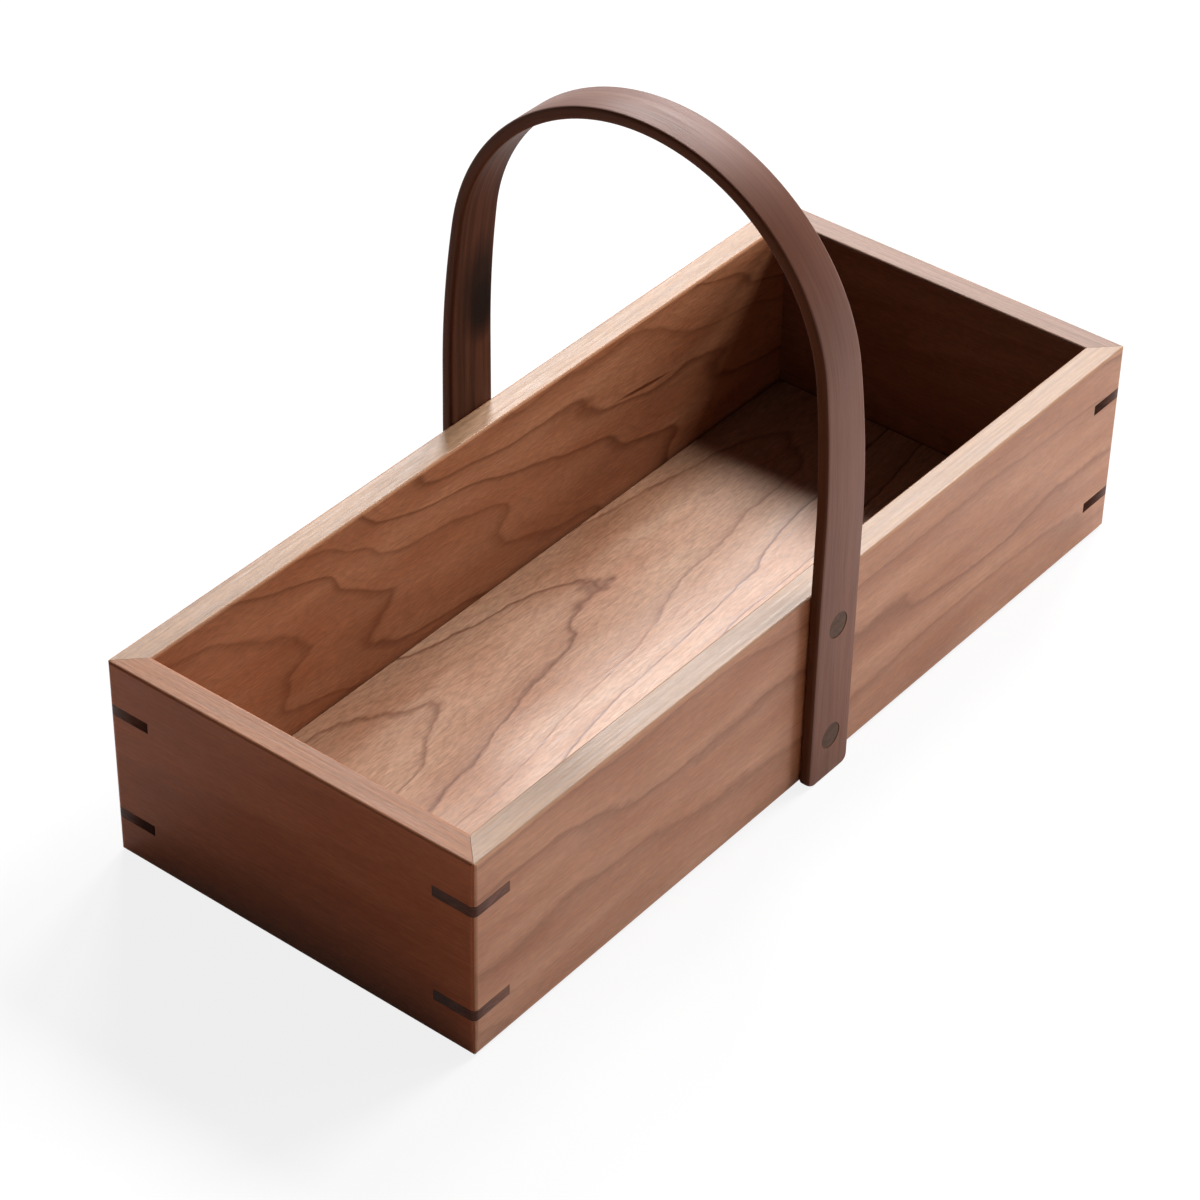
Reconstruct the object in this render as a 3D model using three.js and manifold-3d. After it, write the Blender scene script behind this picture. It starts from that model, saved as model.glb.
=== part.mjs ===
// An open wooden carrying box. Four cherry walls are mitred at the corners and locked by dark splines,
// a cherry floor panel floats in a groove, and a bent walnut bow is pegged to the long walls as a handle.
// Millimetres, +Z up, X along the box, origin on the ground under the middle of the box.
import * as THREE from "three";
import { mergeVertices } from "three/addons/utils/BufferGeometryUtils.js";
import Module from "manifold-3d";

// Driving dimensions of the box
const BOX_LENGTH = 354;
const BOX_WIDTH = 150;
const BOX_HEIGHT = 78.5;
const WALL_THICKNESS = 10.5;
const RIM_EASING = 1.1; // radius on both top arrises of a wall
const BASE_EASING = 2.4; // radius on the outer bottom edge
const CORNER_EASING = 2; // radius on the upright corner edges

// Driving dimensions of the floor panel and its groove
const FLOOR_TOP = 9;
const TONGUE_BASE = 4; // height of the panel's underside above the ground
const TONGUE_THICKNESS = 3.4;
const TONGUE_REACH = 4.4; // how far the tongue enters the wall
const TONGUE_END_ROOM = 0.8; // left at the groove's end for the panel to swell
const TONGUE_PLAY = 0.12; // left above and below the tongue
const SHADOW_GAP = 0.6; // open line between the panel's field and the wall
const FIELD_EASING = 0.5; // chamfer on the field's top edge

// Driving dimensions of the corner splines
const SPLINE_LEG = 16.5; // length that shows on each face of the corner
const SPLINE_THICKNESS = 4;
const SPLINE_BELOW_RIM = 19;
const SPLINE_ABOVE_BASE = 17;

// Driving dimensions of the bent handle
const BOW_RISE = 146; // from the rim to the top of the crown
const BOW_THICKNESS = 4.5;
const BOW_END_WIDTH = 22;
const BOW_CROWN_WIDTH = 17;
const BOW_SPRING = 24; // the limbs start to lean in this far above the rim
const BOW_LEAN = 3.1; // how far each limb leans in before the crown
const BOW_EASING = 1.4; // radius along the bow's long edges
const BOW_END_ROUND = 2.2; // radius on the corners of its lower ends
const BOW_LIFT = 0.5; // from the ground to its lower ends

// Driving dimensions of the handle pegs
const PEG_DIAMETER = 9.5;
const PEG_DEPTH = 7.5; // how far a peg enters the wall
const PEG_TIP_CHAMFER = 0.8;
const PEG_BELOW_RIM = 15;
const PEG_ABOVE_BASE = 17;

// A glued joint, as thick as its glue
const GLUE_LINE = 0.1;

// Fineness of the round faces
const EASING_STEPS = 4;
const PEG_SIDES = 32;
const LEAN_STEPS = 6;
const CROWN_STEPS = 40;
const CUT_MARGIN = 3; // how far a cutting tool stands clear of what it cuts
const MERGE_TOLERANCE = 1e-4;

// Sizes that follow from the driving ones
const LONG_FACE = BOX_WIDTH / 2; // from the middle to the outside of a long wall
const END_FACE = BOX_LENGTH / 2; // from the middle to the outside of an end wall
const RIGHT_ANGLE = Math.PI / 2;
const SPLINE_HEIGHTS = { upper: BOX_HEIGHT - SPLINE_BELOW_RIM, lower: SPLINE_ABOVE_BASE };
const PEG_HEIGHTS = { upper: BOX_HEIGHT - PEG_BELOW_RIM, lower: PEG_ABOVE_BASE };
const BOW_SEAT = LONG_FACE + GLUE_LINE; // from the middle to the bow's seat on the wall
const BOW_SPAN = BOW_SEAT + BOW_THICKNESS / 2; // from the middle to the middle of a limb
const BOW_TOP = BOX_HEIGHT + BOW_RISE;

// Finishes
const CHERRY = new THREE.MeshStandardMaterial({ color: 0xb07e5e, roughness: 0.5, metalness: 0 });
const WALNUT = new THREE.MeshStandardMaterial({ color: 0x6b4a3c, roughness: 0.45, metalness: 0 });
const DARK_WALNUT = new THREE.MeshStandardMaterial({ color: 0x3a2218, roughness: 0.5, metalness: 0 });
const PEG_WOOD = new THREE.MeshStandardMaterial({ color: 0x4f4336, roughness: 0.55, metalness: 0 });

const wasm = await Module();
wasm.setup();

// A closed geometry as a solid that can be cut.
function toSolid(geometry) {
  const bare = geometry.clone();
  bare.deleteAttribute("normal");
  bare.deleteAttribute("uv");
  const merged = mergeVertices(bare, MERGE_TOLERANCE);
  return new wasm.Manifold(
    new wasm.Mesh({
      numProp: 3,
      vertProperties: merged.attributes.position.array,
      triVerts: new Uint32Array(merged.index.array),
    }),
  );
}

// A solid as a geometry that three.js can draw.
function toGeometry(solid) {
  const mesh = solid.getMesh();
  const geometry = new THREE.BufferGeometry();
  geometry.setAttribute("position", new THREE.BufferAttribute(mesh.vertProperties, mesh.numProp));
  geometry.setIndex(new THREE.BufferAttribute(mesh.triVerts, 1));
  geometry.computeVertexNormals();
  return geometry;
}

// A geometry with every cutter taken out of it.
function carve(geometry, cutters) {
  const carved = cutters.reduce((solid, cutter) => solid.subtract(toSolid(cutter)), toSolid(geometry));
  return toGeometry(carved);
}

// A closed skin over rings of equally many points, with a flat cap on the first and last ring.
function loft(rings) {
  const count = rings[0].length;
  const last = (rings.length - 1) * count;
  const index = [];
  for (let ring = 0; ring + 1 < rings.length; ring++) {
    for (let i = 0; i < count; i++) {
      const here = ring * count + i;
      const beside = ring * count + ((i + 1) % count);
      index.push(here, beside, beside + count, here, beside + count, here + count);
    }
  }
  for (let i = 1; i + 1 < count; i++) {
    index.push(0, i + 1, i);
    index.push(last, last + i, last + i + 1);
  }
  return new THREE.BufferGeometry().setFromPoints(rings.flat()).setIndex(index);
}

// A plan outline as a level plate from one height to another.
function plate(outline, bottom, top) {
  const settings = { depth: top - bottom, bevelEnabled: false, curveSegments: EASING_STEPS };
  return new THREE.ExtrudeGeometry(outline, settings).translate(0, 0, bottom);
}

// The four corners of the box in the order of their quarter turns from the back right one.
const CORNERS = [
  { name: "back_right", x: END_FACE, y: LONG_FACE },
  { name: "back_left", x: -END_FACE, y: LONG_FACE },
  { name: "front_left", x: -END_FACE, y: -LONG_FACE },
  { name: "front_right", x: END_FACE, y: -LONG_FACE },
];

// A spline seen from above, with the outer corner of the box at the origin and the box towards -X and -Y.
function splineOutline() {
  const outline = new THREE.Shape();
  outline.moveTo(-SPLINE_LEG, 0);
  outline.lineTo(0, -SPLINE_LEG);
  outline.lineTo(0, -CORNER_EASING);
  outline.absarc(-CORNER_EASING, -CORNER_EASING, CORNER_EASING, 0, RIGHT_ANGLE);
  outline.lineTo(-SPLINE_LEG, 0);
  return outline;
}

// The saw cut that a spline fills, in the same place, running clear of the box on the outside.
function splineSlot(height) {
  const reach = SPLINE_LEG + GLUE_LINE * Math.SQRT2 + CUT_MARGIN;
  const outline = new THREE.Shape();
  outline.moveTo(CUT_MARGIN, CUT_MARGIN);
  outline.lineTo(-reach, CUT_MARGIN);
  outline.lineTo(CUT_MARGIN, -reach);
  const half = SPLINE_THICKNESS / 2 + GLUE_LINE;
  return plate(outline, height - half, height + half);
}

// What rounding an upright corner takes away, in the same place.
function cornerWaste() {
  const outline = new THREE.Shape();
  outline.moveTo(-CORNER_EASING, CUT_MARGIN);
  outline.lineTo(-CORNER_EASING, 0);
  outline.absarc(-CORNER_EASING, -CORNER_EASING, CORNER_EASING, RIGHT_ANGLE, 0, true);
  outline.lineTo(CUT_MARGIN, -CORNER_EASING);
  outline.lineTo(CUT_MARGIN, CUT_MARGIN);
  return plate(outline, -CUT_MARGIN, BOX_HEIGHT + CUT_MARGIN);
}

// A wall's section: how deep from the outer face, and how high.
function wallSection() {
  const grooveDepth = TONGUE_REACH + TONGUE_END_ROOM;
  const grooveBottom = TONGUE_BASE - TONGUE_PLAY;
  const grooveTop = TONGUE_BASE + TONGUE_THICKNESS + TONGUE_PLAY;
  const easedRim = BOX_HEIGHT - RIM_EASING;
  const section = new THREE.Shape();
  section.moveTo(BASE_EASING, 0);
  section.lineTo(WALL_THICKNESS, 0);
  section.lineTo(WALL_THICKNESS, grooveBottom);
  section.lineTo(WALL_THICKNESS - grooveDepth, grooveBottom);
  section.lineTo(WALL_THICKNESS - grooveDepth, grooveTop);
  section.lineTo(WALL_THICKNESS, grooveTop);
  section.lineTo(WALL_THICKNESS, easedRim);
  section.absarc(WALL_THICKNESS - RIM_EASING, easedRim, RIM_EASING, 0, RIGHT_ANGLE);
  section.lineTo(RIM_EASING, BOX_HEIGHT);
  section.absarc(RIM_EASING, easedRim, RIM_EASING, RIGHT_ANGLE, Math.PI);
  section.lineTo(0, BASE_EASING);
  section.absarc(BASE_EASING, BASE_EASING, BASE_EASING, Math.PI, 3 * RIGHT_ANGLE);
  return section;
}

// A length of wall with mitred ends. It runs along X, with its outer face looking along -Y.
function mitredBoard(length, outerFace) {
  const settings = { depth: 1, bevelEnabled: false, curveSegments: EASING_STEPS };
  const board = new THREE.ExtrudeGeometry(wallSection(), settings);
  const points = board.getAttribute("position");
  for (let i = 0; i < points.count; i++) {
    const depth = points.getX(i);
    const height = points.getY(i);
    const side = points.getZ(i) > 0 ? 1 : -1;
    const mitre = length / 2 - depth - GLUE_LINE / Math.SQRT2;
    points.setXYZ(i, side * mitre, depth - outerFace, height);
  }
  return board;
}

// The cuts at both ends of such a board: the spline slots and the rounded corners.
function endCuts(length, outerFace) {
  const tools = [cornerWaste(), ...Object.values(SPLINE_HEIGHTS).map(splineSlot)];
  const rightEnd = tools.map((tool) =>
    tool.clone().rotateZ(-RIGHT_ANGLE).translate(length / 2, -outerFace, 0),
  );
  const leftEnd = tools.map((tool) =>
    tool.clone().rotateZ(Math.PI).translate(-length / 2, -outerFace, 0),
  );
  return [...rightEnd, ...leftEnd];
}

// The drilled holes for the pegs of one limb, looking along -Y, from one distance from the middle to another.
function pegHoles(from, to) {
  const radius = PEG_DIAMETER / 2 + GLUE_LINE;
  return Object.values(PEG_HEIGHTS).map((height) =>
    new THREE.CylinderGeometry(radius, radius, to - from, PEG_SIDES).translate(0, -(from + to) / 2, height),
  );
}

function longWall(name) {
  const drilled = pegHoles(LONG_FACE - PEG_DEPTH - GLUE_LINE, LONG_FACE + CUT_MARGIN);
  const board = carve(mitredBoard(BOX_LENGTH, LONG_FACE), [...endCuts(BOX_LENGTH, LONG_FACE), ...drilled]);
  const wall = new THREE.Mesh(board, CHERRY);
  wall.name = name;
  return wall;
}

function endWall(name) {
  const board = carve(mitredBoard(BOX_WIDTH, END_FACE), endCuts(BOX_WIDTH, END_FACE));
  const wall = new THREE.Mesh(board, CHERRY);
  wall.name = name;
  return wall;
}

// A level rectangle about the middle of the box, as a ring of corners.
function levelRing(halfLength, halfWidth, height) {
  return [
    new THREE.Vector3(halfLength, -halfWidth, height),
    new THREE.Vector3(halfLength, halfWidth, height),
    new THREE.Vector3(-halfLength, halfWidth, height),
    new THREE.Vector3(-halfLength, -halfWidth, height),
  ];
}

// The floor: a field that stands a shadow line clear of the walls, on a tongue that enters their groove.
function floorPanel() {
  const ring = (beyondWall, height) =>
    levelRing(
      END_FACE - WALL_THICKNESS + beyondWall,
      LONG_FACE - WALL_THICKNESS + beyondWall,
      height,
    );
  const tongueTop = TONGUE_BASE + TONGUE_THICKNESS;
  const panel = new THREE.Mesh(
    loft([
      ring(TONGUE_REACH, TONGUE_BASE),
      ring(TONGUE_REACH, tongueTop),
      ring(-SHADOW_GAP, tongueTop),
      ring(-SHADOW_GAP, FLOOR_TOP - FIELD_EASING),
      ring(-SHADOW_GAP - FIELD_EASING, FLOOR_TOP),
    ]),
    CHERRY,
  );
  panel.name = "floor_panel";
  return panel;
}

function cornerSpline(corner, turns, level) {
  const half = SPLINE_THICKNESS / 2;
  const spline = new THREE.Mesh(plate(splineOutline(), -half, half), DARK_WALNUT);
  spline.name = `corner_spline_${corner.name}_${level}`;
  spline.rotation.z = turns * RIGHT_ANGLE;
  spline.position.set(corner.x, corner.y, SPLINE_HEIGHTS[level]);
  return spline;
}

// The middle line of half the bow, from its back end to the top, as places with the direction outwards.
// Each limb is straight up to its spring, leans in on a wide arc, and meets the crown's arc smoothly.
function halfBow() {
  const spring = BOX_HEIGHT + BOW_SPRING;
  const crownRadius = BOW_SPAN - BOW_LEAN;
  const crownHeight = BOW_TOP - BOW_THICKNESS / 2 - crownRadius;
  const climb = crownHeight - spring;
  const leanRadius = (crownRadius + BOW_SPAN) / 2 + climb ** 2 / (2 * BOW_LEAN);
  const meeting = Math.atan2(climb, leanRadius - BOW_SPAN);
  const places = [];
  for (let i = 0; i <= EASING_STEPS; i++) {
    const height = BOW_LIFT + BOW_END_ROUND * (1 - Math.cos((i / EASING_STEPS) * RIGHT_ANGLE));
    places.push({ y: BOW_SPAN, z: height, angle: 0 });
  }
  places.push({ y: BOW_SPAN, z: BOX_HEIGHT, angle: 0 });
  for (let i = 0; i < LEAN_STEPS; i++) {
    const angle = (meeting * i) / LEAN_STEPS;
    const y = BOW_SPAN - leanRadius * (1 - Math.cos(angle));
    places.push({ y, z: spring + leanRadius * Math.sin(angle), angle });
  }
  for (let i = 0; i <= CROWN_STEPS / 2; i++) {
    const angle = THREE.MathUtils.lerp(meeting, RIGHT_ANGLE, i / (CROWN_STEPS / 2));
    places.push({ y: crownRadius * Math.cos(angle), z: crownHeight + crownRadius * Math.sin(angle), angle });
  }
  return places;
}

// The bow's width at a height: full on the box, slimmer towards the crown, rounded off at the lower ends.
function bowWidth(height) {
  const slimming = THREE.MathUtils.smoothstep(height, BOX_HEIGHT, BOW_TOP);
  const width = THREE.MathUtils.lerp(BOW_END_WIDTH, BOW_CROWN_WIDTH, slimming);
  const short = Math.max(0, BOW_END_ROUND - (height - BOW_LIFT));
  return width - 2 * (BOW_END_ROUND - Math.sqrt(BOW_END_ROUND ** 2 - short ** 2));
}

// The bow's section at one place: a flat rectangle with eased edges.
function bowSection(place) {
  const outward = new THREE.Vector3(0, Math.cos(place.angle), Math.sin(place.angle));
  const centre = new THREE.Vector3(0, place.y, place.z);
  const across = bowWidth(place.z) / 2 - BOW_EASING;
  const through = BOW_THICKNESS / 2 - BOW_EASING;
  const section = [];
  for (let corner = 0; corner < 4; corner++) {
    for (let i = 0; i < EASING_STEPS; i++) {
      const turn = (corner + i / (EASING_STEPS - 1)) * RIGHT_ANGLE;
      const x = across * (corner === 0 || corner === 3 ? 1 : -1) + BOW_EASING * Math.cos(turn);
      const out = through * (corner < 2 ? 1 : -1) + BOW_EASING * Math.sin(turn);
      section.push(centre.clone().addScaledVector(outward, out).setX(x));
    }
  }
  return section;
}

function handleBow() {
  const back = halfBow();
  const front = back
    .slice(0, -1)
    .reverse()
    .map(({ y, z, angle }) => ({ y: -y, z, angle: Math.PI - angle }));
  const strip = loft([...back, ...front].map(bowSection));
  const through = BOW_SEAT + BOW_THICKNESS + CUT_MARGIN;
  const frontHoles = pegHoles(BOW_SEAT - CUT_MARGIN, through);
  const backHoles = frontHoles.map((hole) => hole.clone().rotateZ(Math.PI));
  const bow = new THREE.Mesh(carve(strip, [...frontHoles, ...backHoles]), WALNUT);
  bow.name = "handle_bow";
  return bow;
}

// A peg standing on its tip along +Y: chamfered where it goes in, sanded flush with the bow outside.
function handlePeg(side, level) {
  const radius = PEG_DIAMETER / 2;
  const length = PEG_DEPTH + GLUE_LINE + BOW_THICKNESS;
  const outline = [
    new THREE.Vector2(0, 0),
    new THREE.Vector2(radius - PEG_TIP_CHAMFER, 0),
    new THREE.Vector2(radius, PEG_TIP_CHAMFER),
    new THREE.Vector2(radius, length),
    new THREE.Vector2(0, length),
  ];
  const peg = new THREE.Mesh(new THREE.LatheGeometry(outline, PEG_SIDES), PEG_WOOD);
  peg.name = `handle_peg_${side.name}_${level}`;
  peg.rotation.z = side.turn;
  peg.position.set(0, side.facing * (LONG_FACE - PEG_DEPTH), PEG_HEIGHTS[level]);
  return peg;
}

const box = new THREE.Group();

const front = longWall("front_wall");
const back = longWall("back_wall");
back.rotation.z = Math.PI;
const right = endWall("right_end_wall");
right.rotation.z = RIGHT_ANGLE;
const left = endWall("left_end_wall");
left.rotation.z = -RIGHT_ANGLE;
box.add(front, back, right, left, floorPanel());

CORNERS.forEach((corner, turns) => {
  for (const level of Object.keys(SPLINE_HEIGHTS)) {
    box.add(cornerSpline(corner, turns, level));
  }
});

box.add(handleBow());
const LIMBS = [
  { name: "back", facing: 1, turn: 0 },
  { name: "front", facing: -1, turn: Math.PI },
];
for (const side of LIMBS) {
  for (const level of Object.keys(PEG_HEIGHTS)) {
    box.add(handlePeg(side, level));
  }
}

export default box;
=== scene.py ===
"""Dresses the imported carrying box.

Cherry walls and floor, walnut splines across the corners, a bent walnut handle and its pegs.
"""

import math
from collections import namedtuple

import bmesh
import bpy
from mathutils import Matrix, Vector


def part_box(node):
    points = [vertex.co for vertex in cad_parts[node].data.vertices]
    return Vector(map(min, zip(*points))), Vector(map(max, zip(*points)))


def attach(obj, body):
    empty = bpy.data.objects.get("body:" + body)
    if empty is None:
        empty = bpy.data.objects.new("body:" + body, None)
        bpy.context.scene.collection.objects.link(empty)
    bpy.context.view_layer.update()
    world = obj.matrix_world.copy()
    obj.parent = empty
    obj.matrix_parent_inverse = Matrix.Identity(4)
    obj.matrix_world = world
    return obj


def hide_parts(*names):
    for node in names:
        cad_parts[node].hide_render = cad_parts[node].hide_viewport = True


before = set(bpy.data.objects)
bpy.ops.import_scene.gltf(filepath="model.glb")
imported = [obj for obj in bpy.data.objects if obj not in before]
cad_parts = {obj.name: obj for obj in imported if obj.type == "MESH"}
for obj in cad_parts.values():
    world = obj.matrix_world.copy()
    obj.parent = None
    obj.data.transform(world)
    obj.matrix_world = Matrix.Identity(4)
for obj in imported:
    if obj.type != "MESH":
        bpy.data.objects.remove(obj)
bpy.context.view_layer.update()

bl_info = {
    "name": "Carrying Box",
    "version": (1, 0, 0),
    "blender": (4, 5, 0),
    "location": "3D View > Sidebar > Box",
    "description": "Builds an open cherry box with splined corners and a bent walnut handle",
    "category": "Add Mesh",
}

MM = 0.001
BODY = "root"
BOARDS = ("front_wall", "back_wall", "left_end_wall", "right_end_wall", "floor_panel")
SPLINES = tuple(sorted(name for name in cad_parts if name.startswith("corner_spline")))
PEGS = tuple(sorted(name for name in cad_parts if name.startswith("handle_peg")))
# Heights in metres that agree to this many digits are one height.
HEIGHT_DIGITS = 5


def middle_heights(nodes):
    """The heights at which these nodes' middles lie, each once, lowest first."""
    middles = (sum(corner.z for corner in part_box(node)) / 2 for node in nodes)
    return sorted({round(middle, HEIGHT_DIGITS) for middle in middles})


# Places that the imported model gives.
HALF_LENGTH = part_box("right_end_wall")[1].x
HALF_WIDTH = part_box("back_wall")[1].y
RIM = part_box("back_wall")[1].z
BOW_LOW, BOW_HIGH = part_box("handle_bow")
SPLINE_HEIGHTS = middle_heights(SPLINES)
PEG_HEIGHTS = middle_heights(PEGS)

# How a board was cut from its log. The rings are round about a heart line that runs along the board, at heart
# across it and depth through it, and they widen by taper along it. A year is as wide as spacing, from first
# on. Lengths are in millimetres.
Figure = namedtuple(
    "Figure", "along across through heart depth taper spacing first bends contrast season seed"
)
# A bend of the rings: how long and wide its waves are, how far it pushes the rings, and its seed.
Bend = namedtuple("Bend", "length width reach seed")
# Small kinks, and the fine jags at the tips of the figure.
KINKS = (Bend(24, 9, 2.5, 20), Bend(6, 3.5, 1.4, 40))

# How dark the wood grows through a year, as (part of the year, darkness).
CRISP_SEASON = ((0.5, 0.0), (0.89, 0.24), (0.96, 1.0), (0.988, 0.2))
BLURRED_SEASON = ((0.42, 0.0), (0.8, 0.3), (0.94, 1.0), (0.985, 0.25))
SOFT_SEASON = ((0.2, 0.0), (0.62, 0.3), (0.88, 0.8), (0.97, 0.3))
FLOOR_BENDS = (Bend(130, 34, 22.8, 666), Bend(60, 20, 9.1, 134))
BACK_BENDS = (Bend(170, 45, -80, 4514), Bend(60, 20, 23.8, 4637))
FRONT_BENDS = (Bend(170, 45, -28, 5189), Bend(60, 20, -8.7, 423))
LEFT_BENDS = (Bend(95, 30, 18, 7),)
RIGHT_BENDS = (Bend(95, 30, 18, 8),)
FIGURES = {
    "floor_panel": Figure("X", "Y", "Z", 39, 20, 0.144, 14.5, 5.1, FLOOR_BENDS, 0.95, CRISP_SEASON, 3),
    "back_wall": Figure("X", "Z", "Y", 5, 50, 0.344, 18.2, -0.9, BACK_BENDS, 0.75, BLURRED_SEASON, 11),
    "front_wall": Figure("X", "Z", "Y", -20, 5, 0.04, 13.9, 90.7, FRONT_BENDS, 0.6, BLURRED_SEASON, 5),
    "left_end_wall": Figure("Y", "Z", "X", 20, -150, 0.12, 14, 30, LEFT_BENDS, 0.25, SOFT_SEASON, 7),
    "right_end_wall": Figure("Y", "Z", "X", 30, 140, 0.15, 13, 30, RIGHT_BENDS, 0.4, SOFT_SEASON, 8),
}
# The late wood is harder in some years than in others, down to this share of the board's contrast.
WEAKEST_YEAR = 0.55
# Faint lines within a year: how many, where in its share of the year each begins, and how dark it grows.
FAINT_LINES = 5.0
FAINT_START = 0.55
FAINT_DARKNESS = 0.16

# What a pattern does: its effect goes from least to most while its noise goes from low to high.
Effect = namedtuple("Effect", "low high least most")
# A pattern in the wood: the lengths of its lumps along, across and through it in millimetres, its seed, its
# detail and its effects, the first on the colour and the second, if any, on the roughness. Real fibres and
# pores are about 0.1 mm wide, too fine for the picture, so they are drawn coarser.
Pattern = namedtuple("Pattern", "lengths seed detail effects")
CHERRY_MOTTLE = Pattern((60, 14, 14), 60, 3.0, (Effect(0.3, 0.7, 0.0, 1.0),))
CHERRY_FIBRE = Pattern((20, 0.6, 0.6), 80, 3.0, (Effect(0.3, 0.7, 0.88, 1.1), Effect(0.3, 0.7, 0.36, 0.5)))
CHERRY_FLECK = Pattern((3.4, 0.7, 0.8), 100, 1.0, (Effect(0.25, 0.75, -1.0, 1.0),))
RIM_STREAK = Pattern((70, 0.9, 0.9), 120, 2.0, (Effect(0.35, 0.65, 0.84, 1.1),))
WALNUT_STREAK = Pattern((120, 2.6, 2.6), 2, 3.0, (Effect(0.35, 0.7, 0.0, 1.0),))
WALNUT_FIBRE = Pattern((24, 0.5, 0.5), 4, 3.0, (Effect(0.5, 0.75, 0.0, 0.35), Effect(0.3, 0.7, 0.5, 0.6)))
WALNUT_PORE = Pattern((6, 0.3, 0.3), 6, 1.0, (Effect(0.64, 0.74, 0.0, 0.3),))
# Painted shade for the inner face, in long streaks.
WALNUT_INNER_SHADE = Pattern((150, 3.2, 3.2), 9, 3.0, (Effect(0.35, 0.65, 0.3, 0.8),))
SPLINE_FIBRE = Pattern((9, 0.5, 4), 5, 3.0, (Effect(0.35, 0.65, 0.0, 1.0), Effect(0.0, 1.0, 0.36, 0.52)))
PEG_PORE = Pattern((0.5, 0.5, 6), 3, 2.0, (Effect(0.55, 0.7, 0.0, 0.7),))
PEG_CLOUD = Pattern((3, 2, 8), 8, 2.0, (Effect(0.3, 0.7, 0.0, 0.5),))
# The detail of a bend's waves, and the noise at which they push neither way.
BEND_DETAIL = 1.0
BEND_MIDDLE = 0.5
# How far each unit of a seed shifts a pattern, in lumps along, across and through the wood.
SEED_SHIFT = (7.3, 3.1, 1.7)

# How strongly the oil on each board mirrors the room, and how strongly its ray flecks show.
Surface = namedtuple("Surface", "polish fleck")
SURFACES = {
    "floor_panel": Surface(0.4, 0.2),
    "back_wall": Surface(0.33, 0.14),
    "front_wall": Surface(0.33, 0.1),
    "left_end_wall": Surface(0.12, 0.1),
    "right_end_wall": Surface(0.15, 0.1),
}
# The same oil on the handle's faces and edges, the splines and the pegs.
FACE_POLISH = 0.5
INNER_POLISH = 0.2
EDGE_POLISH = 0.1
SPLINE_POLISH = 0.15
PEG_POLISH = 0.12
PEG_ROUGHNESS = 0.5
# How deep the grain is, and how much of it can be felt on each wood.
GRAIN_DEPTH = 0.1 * MM
CHERRY_RELIEF = 0.4
WALNUT_RELIEF = 0.12
SPLINE_RELIEF = 0.25
PEG_RELIEF = 0.3
# Where the look of the rim begins and ends, in millimetres below the top.
RIM_DEPTHS = (0.6, 0.2)
# How pale the easings are worn.
WEAR = 0.35

# The dark streak of gum inside the back wall: its middle along and across the board and its reach both ways
# in millimetres, its slant, the share of its reach that is fully dark, and its strength.
GUM_PLACE = (82, 49.3)
GUM_SIZE = (18, 0.9)
GUM_SLANT = 0.11
GUM_CORE = 0.5
GUM_STRENGTH = 0.9

# Dark patches on the handle, each with its middle and its reach along, across and through the strip, in
# millimetres, how strong it is, and its colour: a knot in the wood, and painted shade.
Patch = namedtuple("Patch", "middle reach strength colour")
# The share of a patch's reach that shows its full strength.
PATCH_CORE = 0.4
# Painted shade over the front bend, on the strip's shoulder, which turns from the light.
FRONT_BEND_SHADE = (Patch((335, 0, 2.2), (50, 40, 8), 0.37, "walnut_dark"),)
# A knot inside the back limb, and the dark wood above it.
INNER_PATCHES = (
    Patch((118, 5, -2.2), (15, 8, 3), 0.98, "knot_dark"),
    Patch((127, 3.5, -2.2), (25, 11.5, 3), 0.82, "knot_dark"),
)

# The camera, in metres and degrees, fitted to the edges of the box in the picture.
CAMERA_PLACE = (-0.8066, -0.6100, 0.8204)
CAMERA_AZIMUTH = -52.088
CAMERA_ELEVATION = 37.886
CAMERA_ROLL = 1.197
CAMERA_LENS = 113.65
CAMERA_SENSOR = 36.0

# Soft lamps: the side each stands on, how high, how far, how large and how strong, and whether it shows in
# the gloss.
Lamp = namedtuple("Lamp", "name azimuth elevation distance size power mirrored")
LAMPS = (
    Lamp("window_side", 79, 42, 3.3, 0.9, 120.0, False),
    Lamp("window_corner", 106, 43, 3.3, 0.75, 81.0, True),
    Lamp("window_back", 131, 36, 3.3, 0.75, 68.0, True),
    Lamp("room_front", 54, 12, 3.3, 0.9, 54.0, False),
)
ROOM_LIGHT = 0.03
# Where the white of the room gives way to its ceiling, as the sine of the height above the horizon.
CEILING_HEIGHTS = (0.2, 0.45)
WHITE = (1, 1, 1, 1)
# The paper on the floor: its width in metres, its colour, the warm colour that it throws on the box, and
# how much of it is plain white to the eye and in the gloss.
FLOOR_SPAN = 6.0
PAPER_COLOUR = "e7e7e7"
BOUNCE_COLOUR = "e1b69a"
PAPER_SEEN = 0.85
PAPER_MIRRORED = 0.2


def linear(hex_colour):
    """An sRGB hex colour as the linear numbers that the shaders take."""
    parts = [int(hex_colour[i : i + 2], 16) / 255 for i in (0, 2, 4)]
    return tuple(c / 12.92 if c <= 0.04045 else ((c + 0.055) / 1.055) ** 2.4 for c in parts)


def length_property(name, description, millimetres):
    """A size that a user can change."""
    return bpy.props.FloatProperty(
        name=name, description=description, default=millimetres * MM, min=0.0, unit="LENGTH", precision=4
    )


def colour_property(name, description, hex_colour):
    """A colour that a user can change."""
    return bpy.props.FloatVectorProperty(
        name=name, description=description, default=linear(hex_colour), min=0.0, max=1.0, subtype="COLOR"
    )


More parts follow.
